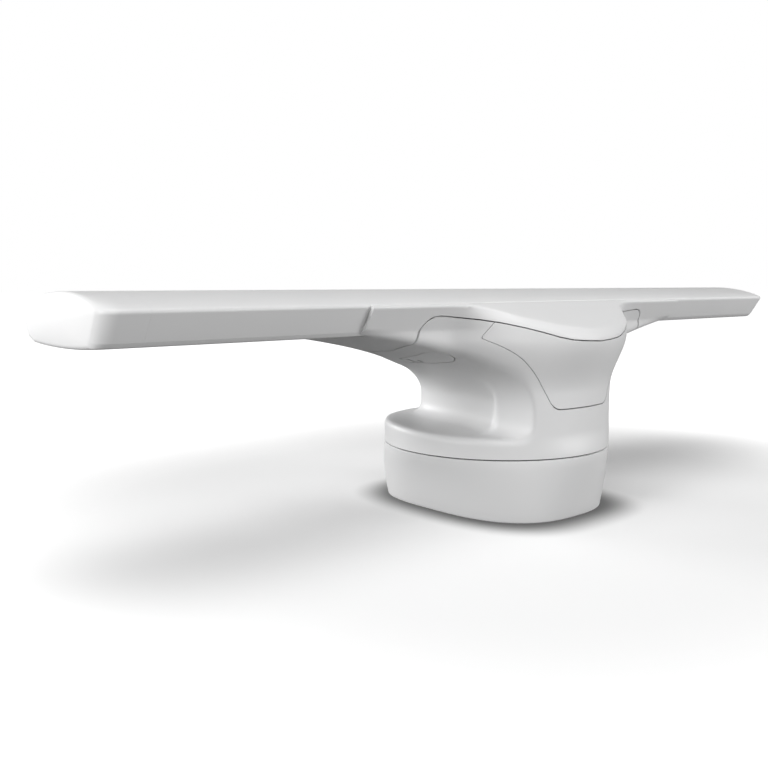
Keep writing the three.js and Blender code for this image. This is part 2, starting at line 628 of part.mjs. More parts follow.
function addPan() {
  add('base_pan', basePan(), WHITE);
  add('turret_seal', ring(160, 165.6, SEAM_Z - 8, SEAM_Z + 0.4, 40), RUBBER);
  FOOT_SPOTS.forEach(([x, y], i) => add(`foot_insert_${i + 1}`, ring(4.3, 7.5, 0.5, 14.6, 16), BRASS, [x, y, 0]));
}

addPan();
addRearFittings();
addSwitch();
addElectronics();
addDrive();
addHub();
addBeam();
addTurret();

export default scanner;
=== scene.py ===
import json
import math

import bmesh
import bpy
import numpy as np
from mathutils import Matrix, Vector

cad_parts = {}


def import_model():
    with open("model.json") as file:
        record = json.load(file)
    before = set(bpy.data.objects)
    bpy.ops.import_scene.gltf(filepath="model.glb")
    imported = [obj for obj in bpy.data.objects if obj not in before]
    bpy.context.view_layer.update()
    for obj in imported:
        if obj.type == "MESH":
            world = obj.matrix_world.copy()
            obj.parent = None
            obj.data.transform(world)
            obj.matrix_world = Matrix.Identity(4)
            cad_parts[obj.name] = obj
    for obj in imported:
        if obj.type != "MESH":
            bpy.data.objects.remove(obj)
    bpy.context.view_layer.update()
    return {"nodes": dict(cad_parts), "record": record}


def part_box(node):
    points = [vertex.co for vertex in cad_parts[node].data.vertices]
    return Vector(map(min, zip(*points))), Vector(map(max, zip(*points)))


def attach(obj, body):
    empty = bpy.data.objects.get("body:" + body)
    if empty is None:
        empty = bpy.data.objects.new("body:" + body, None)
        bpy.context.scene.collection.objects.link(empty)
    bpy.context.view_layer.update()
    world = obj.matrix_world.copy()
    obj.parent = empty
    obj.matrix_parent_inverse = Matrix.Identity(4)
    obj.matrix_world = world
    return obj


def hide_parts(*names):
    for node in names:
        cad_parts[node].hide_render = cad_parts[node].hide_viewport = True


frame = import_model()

MM = 0.001

# ---- sizes, in millimetres; heights in the turret are counted from the turning seam ------------------
SEAM_GAP = 2.0
PAN_TOP = (Vector(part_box("base_pan")[1]) / MM).z
SEAM_Z = PAN_TOP + SEAM_GAP / 2
SEAM_R = 175.0
FOOT_HALF_X = 132.0              # pan outline at the floor: half width,
FOOT_FRONT = (159.5, 2.75)       # then half depth and squareness in front
FOOT_BACK = (163.5, 3.35)        # and behind
PAN_WALL = 4.0
PAN_FLOOR = 5.0
INSERT_HOLE_R = 8.0

PANEL_Y = 172.0                  # connector panel on the pan's back: its face,
PANEL_BACK = 159.0               # its root inside the wall
PANEL_Z = 44.0                   # height of its middle above the floor
PANEL_HALF = (78.0, 20.0)        # half width and half height
PANEL_EDGE = 1.5                 # eased edge
PANEL_CORNER = 6.0
SWITCH_HALF = (12.9, 11.9)       # half sizes of the switch's opening
PANEL_BORES = {"power_socket": 10.8, "data_socket": 10.8, "breather_vent": 5.4, "earth_stud": 3.4}

SHELF_Z = 26.0                   # the drum's top at the scoop's front, and its rise to the back
SHELF_RISE = 7.0
RIM_HEIGHT, RIM_R, RIM_WIDTH = 2.0, 165.0, 22.0
WAIST_Z = 57.0                   # where the front wall is narrowest
WAIST_HALF = 91.0
WAIST_FLARE = 14.0               # spread of that wall below its waist
FLARE_SINK = 6.0                 # how far under the shelf the flare runs out
ARM_CURVE = 3.1                  # power of the arms' underside
ARM_LAP = 2.0                    # how far under the beam's low edge the arms reach it
ARM_HALF = 88.0                  # half depth of the arms
ARM_SAG_FRONT, ARM_SAG_BACK = 9.0, 7.0
POCKET = 27.0                    # how much narrower the neck is behind the front wall
POCKET_WALL = (-84.0, -50.0)     # depths between which that wall gives way to the pocket
NECK_BACK = 140.0                # how far back the neck reaches
DRUM_FLAT = 5.0                  # flattening of the drum's front and back
HUB_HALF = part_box("hub_fairing")[1][0] / MM
HUB_PROUD = 3.5                  # how far the fairing stands off the beam
NOSE_REACH = 81.0
NOSE_HALF = 235.0
NOSE_BLEND = 120.0               # from here out the nose fades into the arm
NOSE_SLOPE = 0.45                # fall of its top for each millimetre forward
ROLL_MIDDLE, ROLL_SIDE = 6.0, 9.0    # how far its rim rolls out, in the middle and beside it
ROLL_HEIGHT = 17.0
WALL = 4.0

# heights between which one shape of the turret passes into the next
SAG_HEIGHTS = (90.0, 130.0)      # the arms' undersides begin to sag
POCKET_HEIGHTS = (70.0, 122.0)   # the pocket closes under the arms
ARM_HEIGHTS = (110.0, 170.0)     # the neck's oval becomes the arms' long box
NOSE_HEIGHTS = (92.0, 170.0)     # the drum's wall becomes the nose
BOX_HEIGHTS = (95.0, 130.0)      # the arms' own front and back begin
LIP_HEIGHTS = (184.0, 200.0)     # the wide rounding ends and the nose's crisp rim begins

BEAM_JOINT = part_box("beam_shell")[1][0] / MM
BEAM_END = 691.0
JOINT_GAP = 0.05                 # on each side of the joint with an end cap
CAP_CORNER_FRONT = 22.0
CAP_CORNER_BACK = 7.0
CAP_RIM = 5.0
TOP_EDGE = (106.0, 219.0)        # the beam's front edges: distance forward, height
LOW_EDGE = (85.0, 186.0)
BEAM_MIDDLE = 205.0
KEEL_Z = 177.5
CROWN = 17.5                     # rise of the beam's domed top
BEAM_HALF_HEIGHT = 30.0
BEAM_WALL = 3.0

CUT = 1.6                        # width of the dark gaps between the mouldings
PLUG_GAP = 2.0
KEY_SLOTS_Y = (-3.0, 15.0)
PAST = 260.0                     # further out in depth than anything on the turret

OUTER_CELL = 2.5
INNER_CELL = 7.0

# ---- the studio, in metres and degrees --------------------------------------------------------------
LENS = 41.23                     # in millimetres, on a 36 mm sensor
CAMERA_AT = (-1.0539, -0.9068, 0.2452 + SEAM_Z * MM)
CAMERA_PITCH = 6.507             # downwards
CAMERA_HEADING = 42.009          # to the right of straight on
AIM = (0, 0, 0.2)
LIGHTS = (                       # name, place, size, power
    ("key", (-4.5, 0.1, 1.3), (1.6, 1.2), 128),
    ("rear left", (-1.2, 3.2, 0.8), (1.4, 1.0), 60),
    ("front left", (-1.6, -2.6, 0.9), (1.4, 1.1), 16),
    ("front right", (1.7, -2.6, 0.8), (1.6, 1.2), 50),
    ("top", (-0.3, -0.35, 2.8), (2.2, 1.8), 36),
)
SKY = 0.1
FLOOR_BOUNCE = 0.2


# ---- small sums --------------------------------------------------------------------------------------
def mix(a, b, t):
    return a + (b - a) * t


def step(start, end, value):
    """A soft 0 to 1 between start and end."""
    t = np.clip((value - start) / (end - start), 0, 1)
    return t * t * (3 - 2 * t)


def smooth_max(a, b, radius):
    h = np.clip(0.5 + 0.5 * (a - b) / radius, 0, 1)
    return b + (a - b) * h + radius * h * (1 - h)


def smooth_min(a, b, radius):
    return -smooth_max(-a, -b, radius)


def arc_steps(radius, start, end, steps=6):
    """Offsets along an arc whose angles are in degrees."""
    for i in range(steps + 1):
        angle = math.radians(mix(start, end, i / steps))
        yield radius * math.cos(angle), radius * math.sin(angle)


def bezier(start, control, end, steps=14):
    for t in np.linspace(0, 1, steps):
        yield tuple(mix(mix(a, b, t), mix(b, c, t), t) for a, b, c in zip(start, control, end))


def circle(u, v, radius, count):
    angles = np.linspace(0, 2 * math.pi, count, endpoint=False)
    return [(u + radius * math.cos(a), v + radius * math.sin(a)) for a in angles]


def rectangle(u, v, half_u, half_v):
    return [(u + i * half_u, v + k * half_v) for i, k in ((-1, -1), (1, -1), (1, 1), (-1, 1))]


def rounded(corners, steps=6):
    """Corners are (u, v, radius); each is replaced by an arc's points."""
    points = []
    count = len(corners)
    for i, (u, v, radius) in enumerate(corners):
        if radius <= 0:
            points.append((u, v))
            continue
        here = Vector((u, v))
        back = (Vector(corners[i - 1][:2]) - here).normalized()
        ahead = (Vector(corners[(i + 1) % count][:2]) - here).normalized()
        half = back.angle(ahead) / 2
        reach = radius / math.tan(half)
        centre = here + (back + ahead).normalized() * radius / math.sin(half)
        start = here + back * reach - centre
        end = here + ahead * reach - centre
        for k in range(steps + 1):
            spoke = start.lerp(end, k / steps).normalized() * radius
            points.append(tuple(centre + spoke))
    return points


def node_box(node):
    """A CAD node's lowest and highest corner, in millimetres."""
    return [Vector(corner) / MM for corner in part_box(node)]


def node_middle(node):
    low, high = node_box(node)
    return (low + high) / 2


# ---- materials ---------------------------------------------------------------------------------------
NOISE_LOW, NOISE_HIGH = 0.3, 0.7         # most of a noise texture's values lie between these


def new_material(name, colour, roughness, metallic=0.0):
    material = bpy.data.materials.new(name)
    material.use_nodes = True
    shader = material.node_tree.nodes["Principled BSDF"]
    shader.inputs["Base Color"].default_value = (*colour, 1)
    shader.inputs["Roughness"].default_value = roughness
    shader.inputs["Metallic"].default_value = metallic
    return material


def noise(material, scale, detail=3.0, stretch=(1, 1, 1)):
    """A 0 to 1 noise output fixed to the object."""
    nodes, links = material.node_tree.nodes, material.node_tree.links
    place = nodes.new("ShaderNodeTexCoord")
    mapping = nodes.new("ShaderNodeMapping")
    mapping.inputs["Scale"].default_value = stretch
    texture = nodes.new("ShaderNodeTexNoise")
    texture.inputs["Scale"].default_value = scale
    texture.inputs["Detail"].default_value = detail
    links.new(place.outputs["Object"], mapping.inputs["Vector"])
    links.new(mapping.outputs["Vector"], texture.inputs["Vector"])
    return texture.outputs["Fac"]


def vary(material, socket, source, low, high):
    """Runs one shader socket between two numbers or two colours by a 0 to 1 source."""
    nodes, links = material.node_tree.nodes, material.node_tree.links
    shader = nodes["Principled BSDF"]
    if isinstance(low, float):
        spread = nodes.new("ShaderNodeMapRange")
        spread.inputs["From Min"].default_value = NOISE_LOW
        spread.inputs["From Max"].default_value = NOISE_HIGH
        spread.inputs["To Min"].default_value = low
        spread.inputs["To Max"].default_value = high
        links.new(source, spread.inputs["Value"])
        links.new(spread.outputs["Result"], shader.inputs[socket])
    else:
        ramp = nodes.new("ShaderNodeValToRGB")
        ramp.color_ramp.elements[0].position = NOISE_LOW
        ramp.color_ramp.elements[1].position = NOISE_HIGH
        ramp.color_ramp.elements[0].color = (*low, 1)
        ramp.color_ramp.elements[1].color = (*high, 1)
        links.new(source, ramp.inputs["Fac"])
        links.new(ramp.outputs["Color"], shader.inputs[socket])


def bump(material, source, strength, distance):
    nodes, links = material.node_tree.nodes, material.node_tree.links
    node = nodes.new("ShaderNodeBump")
    node.inputs["Strength"].default_value = strength
    node.inputs["Distance"].default_value = distance
    links.new(source, node.inputs["Height"])
    links.new(node.outputs["Normal"], nodes["Principled BSDF"].inputs["Normal"])


def white_paint():
    """Satin marine paint on a moulding: a faint orange peel and a slight drift in its white."""
    material = new_material("white_paint", (0.8, 0.8, 0.8), 0.46)
    vary(material, "Base Color", noise(material, 6.0), (0.795, 0.797, 0.8), (0.812, 0.812, 0.812))
    vary(material, "Roughness", noise(material, 40.0), 0.43, 0.5)
    bump(material, noise(material, 900.0, 2.0), 0.04, 0.0003)
    return material


def black_rubber():
    material = new_material("black_rubber", (0.02, 0.02, 0.02), 0.75)
    vary(material, "Base Color", noise(material, 60.0), (0.012, 0.012, 0.012), (0.03, 0.03, 0.03))
    bump(material, noise(material, 700.0), 0.25, 0.0002)
    return material


def black_plastic():
    material = new_material("black_plastic", (0.03, 0.03, 0.033), 0.5)
    vary(material, "Roughness", noise(material, 120.0), 0.42, 0.58)
    vary(material, "Base Color", noise(material, 30.0), (0.024, 0.024, 0.027), (0.036, 0.036, 0.04))
    bump(material, noise(material, 1500.0, 1.0), 0.3, 0.0002)
    return material


def cast_aluminium():
    material = new_material("cast_aluminium", (0.6, 0.61, 0.62), 0.45, metallic=1.0)
    vary(material, "Base Color", noise(material, 25.0), (0.55, 0.56, 0.57), (0.66, 0.67, 0.68))
    vary(material, "Roughness", noise(material, 90.0), 0.38, 0.55)
    bump(material, noise(material, 800.0, 4.0), 0.25, 0.0003)
    return material


def machined_steel():
    material = new_material("machined_steel", (0.52, 0.53, 0.54), 0.28, metallic=1.0)
    turned = noise(material, 300.0, 2.0, stretch=(0.05, 0.05, 8.0))
    vary(material, "Roughness", turned, 0.2, 0.36)
    vary(material, "Base Color", turned, (0.47, 0.48, 0.49), (0.56, 0.57, 0.58))
    bump(material, turned, 0.08, 0.0001)
    return material


def machined_brass():
    material = new_material("machined_brass", (0.62, 0.45, 0.18), 0.3, metallic=1.0)
    turned = noise(material, 250.0, 2.0, stretch=(1.0, 1.0, 0.1))
    vary(material, "Base Color", turned, (0.55, 0.39, 0.15), (0.68, 0.5, 0.22))
    vary(material, "Roughness", turned, 0.24, 0.4)
    return material


def circuit_board():
    material = new_material("circuit_board", (0.03, 0.16, 0.06), 0.4)
    vary(material, "Base Color", noise(material, 220.0, 1.0), (0.02, 0.12, 0.045), (0.04, 0.2, 0.08))
    bump(material, noise(material, 500.0), 0.1, 0.0002)
    return material


FINISHES = {
    "white_shell": white_paint(),
    "black_rubber": black_rubber(),
    "black_plastic": black_plastic(),
    "cast_aluminium": cast_aluminium(),
    "steel": machined_steel(),
    "brass": machined_brass(),
    "circuit_board": circuit_board(),
}


def dress_cad_nodes():
    slot_of = {row["node"]: row["material_slot"] for row in frame["record"]["subparts"]}
    for node, obj in frame["nodes"].items():
        obj.data.materials.clear()
        obj.data.materials.append(FINISHES[slot_of[node]])


# ---- mesh tools --------------------------------------------------------------------------------------
def make_object(name, points, faces, finish=None):
    """Points are in millimetres."""
    mesh = bpy.data.meshes.new(name)
    mesh.from_pydata((np.asarray(points, float) * MM).tolist(), [], [list(face) for face in faces])
    mesh.validate()
    obj = bpy.data.objects.new(name, mesh)
    bpy.context.scene.collection.objects.link(obj)
    if finish:
        mesh.materials.append(FINISHES[finish])
    return obj


def loft(name, rings, finish=None, closed=False):
    """A skin through rings of points; its first and last rings are joined, or else capped."""
    count = len(rings[0])
    points = [point for ring in rings for point in ring]
    faces = []
    rows = len(rings) if closed else len(rings) - 1
    for row in range(rows):
        above = (row + 1) % len(rings)
        for i in range(count):
            k = (i + 1) % count
            faces.append((row * count + i, row * count + k, above * count + k, above * count + i))
    if not closed:
        faces.append(tuple(reversed(range(count))))
        faces.append(tuple(range((len(rings) - 1) * count, len(rings) * count)))
    return face_out(make_object(name, points, faces, finish))


def face_out(obj):
    """Welds doubled points and turns every face outwards."""
    mesh = bmesh.new()
    mesh.from_mesh(obj.data)
    bmesh.ops.remove_doubles(mesh, verts=mesh.verts, dist=1e-7)
    bmesh.ops.recalc_face_normals(mesh, faces=mesh.faces)
    mesh.to_mesh(obj.data)
    mesh.free()
    return obj


def smooth(obj, sharp_degrees=32):
    """Shades an object smooth, but for edges sharper than an angle."""
    obj.data.shade_smooth()
    obj.data.set_sharp_from_angle(angle=math.radians(sharp_degrees))
    return obj


def apply_modifiers(obj):
    graph = bpy.context.evaluated_depsgraph_get()
    mesh = bpy.data.meshes.new_from_object(obj.evaluated_get(graph))
    obj.modifiers.clear()
    obj.data = mesh


def duplicate(obj, name):
    twin = obj.copy()
    twin.data = obj.data.copy()
    twin.name = name
    bpy.context.scene.collection.objects.link(twin)
    return twin


def cut(obj, tool, operation="DIFFERENCE"):
    """Cuts obj by the tool, or joins or intersects them, and uses the tool up."""
    modifier = obj.modifiers.new("cut", "BOOLEAN")
    modifier.operation = operation
    modifier.solver = "MANIFOLD"
    modifier.object = tool
    apply_modifiers(obj)
    bpy.data.objects.remove(tool)
    return obj


def prism_x(name, outline, left, right):
    """An outline in (y, z) pushed along X."""
    return loft(name, [[(x, y, z) for y, z in outline] for x in (left, right)])


def prism_y(name, outline, near, far):
    """An outline in (x, z) pushed along Y."""
    return loft(name, [[(x, y, z) for x, z in outline] for y in (near, far)])


def prism_z(name, outline, low, high):
    """An outline in (x, y) pushed along Z."""
    return loft(name, [[(x, y, z) for x, y in outline] for z in (low, high)])


def lathe_y(name, profile, centre_x, centre_z, finish, segments=64):
    """A profile of (radius, y) turned about a line along Y; it starts and ends on that line."""
    rings = []
    for radius, y in profile:
        rings.append([(x, y, z) for x, z in circle(centre_x, centre_z, radius, segments)])
    return loft(name, rings, finish)


# ---- pan ---------------------------------------------------------------------------------------------
def pan_ring(z, inset, count=192):
    """The pan's outline at a height: a squarish oval at the floor that turns round at the seam."""
    up = min(1.0, z / SEAM_Z)
    half_x = mix(FOOT_HALF_X, SEAM_R, up) - inset
    ring = []
    for i in range(count):
        angle = 2 * math.pi * i / count
        c, s = math.cos(angle), math.sin(angle)
        foot_y, foot_power = FOOT_FRONT if s < 0 else FOOT_BACK
        half_y = mix(foot_y, SEAM_R, up) - inset
        power = mix(foot_power, 2.0, up)
        size = (abs(c / half_x) ** power + abs(s / half_y) ** power) ** (-1 / power)
        ring.append((size * c, size * s, z))
    return ring


def connector_panel(pan):
    """A flat panel standing out of the pan's back wall, bored for the fittings it carries."""
    half_x, half_z = PANEL_HALF
    outline = rounded([(x, z, PANEL_CORNER) for x, z in rectangle(0, 0, half_x, half_z)])
    eased = [(x * (1 - PANEL_EDGE / half_x), z * (1 - PANEL_EDGE / half_z)) for x, z in outline]
    rings = []
    for y, ring in ((PANEL_BACK, outline), (PANEL_Y - PANEL_EDGE, outline), (PANEL_Y, eased)):
        rings.append([(x, y, PANEL_Z + z) for x, z in ring])
    cut(pan, loft("panel", rings), "UNION")
    near, far = PANEL_BACK - 10, PANEL_Y + 10
    for node, radius in PANEL_BORES.items():
        middle = node_middle(node)
        cut(pan, prism_y("bore", circle(middle.x, middle.z, radius, 48), near, far))
    middle = node_middle("switch_body")
    cut(pan, prism_y("switch_opening", rectangle(middle.x, middle.z, *SWITCH_HALF), near, far))
    return pan


def base_pan():
    """From the middle of the underside, up the outside, over the rim and down to the floor's middle."""
    foot_edge, lip, floor_edge = 3.0, 1.2, 5.0
    rings = [pan_ring(0, inset) for inset in (120, 60, 20)]
    rings += [pan_ring(foot_edge + v, foot_edge - u) for u, v in arc_steps(foot_edge, -90, 0)]
    rings += [pan_ring(z, 0) for z in (20, 40, 60, 78)]
    rings += [pan_ring(PAN_TOP - lip + v, lip - u) for u, v in arc_steps(lip, 0, 90, 3)]
    rings += [pan_ring(z, PAN_WALL) for z in (PAN_TOP, 60, 30)]
    for u, v in arc_steps(floor_edge, 0, -90, 4):
        rings.append(pan_ring(PAN_FLOOR + floor_edge + v, PAN_WALL + floor_edge - u))
    rings += [pan_ring(PAN_FLOOR, inset) for inset in (60, 120)]
    pan = loft("pan_moulding", rings, "white_shell")
    for i in range(4):
        middle = node_middle(f"foot_insert_{i + 1}")
        hole = circle(middle.x, middle.y, INSERT_HOLE_R, 32)
        cut(pan, prism_z("insert_hole", hole, -5, PAN_FLOOR + 0.6))
    return smooth(connector_panel(pan))


def seal_ring():
    low, high = node_box("turret_seal")
    outer, edge = high.x, 1.0
    inner = outer - 5.5
    section = [(inner, low.z), (outer, low.z), (outer, high.z - edge), (outer - edge, high.z)]
    section.append((inner, high.z))
    rings = []
    for c, s in circle(0, 0, 1, 128):
        rings.append([(r * c, r * s, z) for r, z in section])
    return smooth(loft("seal_ring", rings, "black_rubber", closed=True))


def panel_socket(node, name):
    """A round socket with a flange on the panel's face and an open mouth."""
    low, high = node_box(node)
    middle = node_middle(node)
    outer, face, back = (high.x - low.x) / 2, high.y, low.y
    flange, mouth_depth = face - 5, face - 14
    profile = [(0, back), (10, back), (10.5, back + 0.5), (10.5, flange), (outer - 0.8, flange)]
    profile += [(outer, flange + 0.8), (outer, face - 1), (outer - 1, face), (9, face), (8, face - 1)]
    profile += [(8, mouth_depth), (0, mouth_depth)]
    return smooth(lathe_y(name, profile, middle.x, middle.z, "black_plastic"))


# ---- turret ------------------------------------------------------------------------------------------
def as_distance(field, cell):
    """Rescales a field so that its values near zero are about distances in millimetres."""
    gradient = np.gradient(field, cell)
    return field / np.sqrt(sum(g * g for g in gradient) + 1e-6)


def crease_half(z):
    """Half width of the front wall, and of the arms above it."""
    down = np.clip((WAIST_Z - z) / (WAIST_Z - SHELF_Z + FLARE_SINK), 0, 1)
    up = np.clip((z - WAIST_Z) / (LOW_EDGE[1] - ARM_LAP - WAIST_Z), 0, 1.2)
    flare = WAIST_FLARE * (1 - np.sqrt(1 - down * down))
    return WAIST_HALF + flare + (HUB_HALF - WAIST_HALF) * up ** ARM_CURVE


def arm_reach(z):
    """Half depth of the arms in front: upright below the beam, then parallel to its slanted face."""
    rise = np.clip((z - LOW_EDGE[1] + ARM_LAP) / (TOP_EDGE[1] - LOW_EDGE[1] + ARM_LAP), 0, 1)
    return mix(ARM_HALF, TOP_EDGE[0] + HUB_PROUD, rise)


def arm_back(z):
    """The same behind, where the beam is rounder and the arm meets it lower."""
    proud, foot, height = 5, 172, 22
    return mix(ARM_HALF, TOP_EDGE[0] + proud, np.clip((z - foot) / height, 0, 1))


def nose_reach(half_x, z):
    """How far forward the nose stands: a bell in plan, with a rim that rolls outwards below its edge."""
    bell = np.where(half_x < NOSE_HALF, np.cos(np.pi * half_x / (2 * NOSE_HALF)) ** 2, 0)
    edge = TOP_EDGE[0] + NOSE_REACH * bell
    edge_z = TOP_EDGE[1] - NOSE_SLOPE * NOSE_REACH * bell
    roll = ROLL_MIDDLE * bell + ROLL_SIDE * np.sin(np.pi * np.clip(half_x / NOSE_HALF, 0, 1)) ** 2
    out = edge + roll * np.sin(np.pi / 2 * np.clip((edge_z - z) / ROLL_HEIGHT, 0, 1))
    return mix(out, arm_reach(z), step(NOSE_BLEND, NOSE_HALF, half_x))


def neck_field(half_x, y, z, cell):
    """The neck with its pockets, widening into the undersides of the arms."""
    sag = ARM_SAG_FRONT * np.maximum(0, 1 - (y / ARM_HALF) ** 2) + ARM_SAG_BACK * step(0, 80, y)
    pocket = POCKET * step(*POCKET_WALL, y) * (1 - step(*POCKET_HEIGHTS, z))
    half = crease_half(z + sag * step(*SAG_HEIGHTS, z)) - pocket
    arms = step(*ARM_HEIGHTS, z)
    back = mix(NECK_BACK, arm_back(z), arms)
    power = mix(3.0, 12.0, arms)
    oval = ((half_x / half) ** power + (np.maximum(y, 0) / back) ** power) ** (1 / power)
    return as_distance(100 * (oval - 1), cell)


def shelf_height(y, radius):
    """The top of the drum under the scoops, with its raised rim."""
    base = SHELF_Z + SHELF_RISE * step(-0.9, 0.5, y / np.maximum(radius, 1))
    return base + RIM_HEIGHT * np.exp(-((radius - RIM_R) / RIM_WIDTH) ** 2)


def wall_field(x, y, z, cell):
    """The outer walls: the drum below, the nose and the arms' box above."""
    drum = np.hypot(x, y) - SEAM_R + DRUM_FLAT * step(0, 34, z) * np.maximum(0, 1 - (x / WAIST_HALF) ** 2)
    nose = as_distance(-y - nose_reach(np.abs(x), z), cell)
    walls = mix(drum, nose, step(*NOSE_HEIGHTS, z))
    far_below = 300 * (1 - step(*BOX_HEIGHTS, z))
    arm_box = np.where(y > 0, y - arm_back(z), -y - arm_reach(z)) + far_below
    return smooth_min(walls, arm_box, 8)


def turret_field(x, y, z, cell):
    """Below zero inside the turret and hub fairing, taken as one body; it is rounded by these radii."""
    shelf_fillet, drum_edge, crease, arm_edge, nose_edge = 20, 9, 3.5, 8, 1.5
    body = smooth_min(neck_field(np.abs(x), y, z, cell), z - shelf_height(y, np.hypot(x, y)), shelf_fillet)
    edge = mix(drum_edge, crease, step(24, 45, z))
    edge = edge + arm_edge * step(*BOX_HEIGHTS, z) * (1 - step(*LIP_HEIGHTS, z))
    body = smooth_max(body, wall_field(x, y, z, cell), edge)
    top = np.minimum(TOP_EDGE[1], TOP_EDGE[1] + NOSE_SLOPE * (y + TOP_EDGE[0]))
    return smooth_max(body, (z - top) / math.hypot(1, NOSE_SLOPE), nose_edge)


def surface_net(field, origin, cell):
    """Points and quads where a sampled field crosses zero, one point to each crossed cell."""
    shape = np.array(field.shape) - 1
    total = np.zeros((*shape, 3))
    count = np.zeros(shape)
    crossings = []
    for axis in range(3):
        first = [slice(None)] * 3
        second = [slice(None)] * 3
        first[axis], second[axis] = slice(0, -1), slice(1, None)
        a, b = field[tuple(first)], field[tuple(second)]
        index = np.argwhere((a < 0) != (b < 0))
        start, end = a[tuple(index.T)], b[tuple(index.T)]
        point = index.astype(float)
        point[:, axis] += start / (start - end)
        others = [k for k in range(3) if k != axis]
        index_of = []
        for da, db in ((0, 0), (-1, 0), (-1, -1), (0, -1)):
            box = index.copy()
            box[:, others[0]] += da
            box[:, others[1]] += db
            np.add.at(total, tuple(box.T), point)
            np.add.at(count, tuple(box.T), 1)
            index_of.append(box)
        crossings.append((index_of, (start < 0) == (axis != 1)))
    used = count > 0
    number = np.cumsum(used).reshape(used.shape) - 1
    points = total[used] / count[used][:, None] * cell + origin
    faces = []
    for index_of, outward in crossings:
        quads = np.stack([number[tuple(box.T)] for box in index_of], axis=1)
        faces.append(np.where(outward[:, None], quads, quads[:, ::-1]))
    return points, np.concatenate(faces)


def field_mesh(name, cell, thickness, finish=None):
    """The turret's surface, moved inwards by a thickness."""
    margin, below = 3 * cell, 12
    low = np.array([-(HUB_HALF + margin), -(SEAM_R + 16 + margin), -below])
    high = np.array([HUB_HALF + margin, SEAM_R + margin, TOP_EDGE[1] + margin])
    counts = np.ceil((high - low) / cell).astype(int) + 1
    axes = [low[k] + cell * np.arange(counts[k]) for k in range(3)]
    axes[0] = axes[0] - (axes[0][0] + axes[0][-1]) / 2
    x, y, z = np.meshgrid(*axes, indexing="ij")
    field = turret_field(x, y, z, cell) + thickness
    for axis in range(3):
        for side in (0, -1):
            face = [slice(None)] * 3
            face[axis] = side
            field[tuple(face)] = cell
    points, faces = surface_net(field, np.array([axes[0][0], low[1], low[2] + SEAM_Z]), cell)
    obj = make_object(name, points, faces, finish)
    relax = obj.modifiers.new("relax", "SMOOTH")
    relax.factor = 0.5
    relax.iterations = 2
    apply_modifiers(obj)
    return obj


def seam_outline(drop):
    """The seam between fairing and turret, from end to end in (x, z). A drop moves it down, and inwards
    where it turns down, to leave a gap."""
    shoulder = [(0, 166), (30, 167.5), (55, 169.5), (75, 173.5), (102, 181.5), (127, 188.5), (147, 194)]
    shoulder += [(168, 198), (194, 201), (215, 203), (230, 204), (238, 203.5)]
    bend = [(245, 201.5), (251, 197.5), (255, 192)]
    fall = [(259, 184), (262, 172)]
    right = []
    for inwards, stretch in enumerate((shoulder, bend, fall)):
        right += [(x - inwards * drop, SEAM_Z + z - drop) for x, z in stretch]
    right.append((right[-1][0], SEAM_Z + 100))
    return [(-x, z) for x, z in right[:0:-1]] + right


def seam_prism(name, outline):
    """An outline pushed through from front to back; under the arms the seam closes in on the way."""
    squeezes = {-PAST: 1, -70: 1, -45: 0.97, -30: 0.935, 0: 0.893, 60: 0.83, 90: 0.8, PAST: 0.8}
    return loft(name, [[(x * squeeze, y, z) for x, z in outline] for y, squeeze in squeezes.items()])


def above_seam():
    line = seam_outline(0)
    end_x, end_z = line[-1]
    wide, high = end_x + 200, 420
    return seam_prism("above", line + [(wide, end_z), (wide, high), (-wide, high), (-wide, end_z)])


def below_seam():
    line = seam_outline(CUT)
    end_x = line[-1][0]
    low = SEAM_Z + SEAM_GAP / 2
    return seam_prism("below", line + [(end_x, low), (-end_x, low)])


def cover_window(grow):
    """What lies behind the front cover's outline, which tapers down to a round-cornered foot."""
    right = list(bezier((50, 70 - grow), (59 + grow, 70 - grow), (67 + grow, 80), 6))
    right += list(bezier((67 + grow, 80), (98 + grow, 139), (160 + grow, 170)))[1:]
    right += [(163 + grow, 172), (163 + grow, 174.5), (139 + grow, 215)]
    outline = right + [(-x, z) for x, z in reversed(right)]
    return prism_y("window", [(x, z + SEAM_Z) for x, z in outline], -PAST, -100)


def plug_prism(name, outline):
    """An outline in (x, y) pushed up through the underside of an arm."""
    return prism_z(name, outline, SEAM_Z + 90, SEAM_Z + 172)


def plug_window(side, grow):
    """The teardrop plug: round in front, drawn out to a small round tail."""
    front, tail = (190, -55, 25, -165, -5), (170, 24, 10, 5, 165)
    outline = []
    for x, y, radius, start, end in (front, tail):
        outline += [(side * (x + u), y + v) for u, v in arc_steps(radius + grow, start, end, 10)]
    return plug_prism("plug_window", outline)


def key_slot(side, y):
    """One of the narrow slots in the plug's tail, for levering it out."""
    corners = [(side * x, v, 1.5) for x, v in rectangle(170, y, 7, 3)]
    return plug_prism("key_slot", rounded(corners, 3))


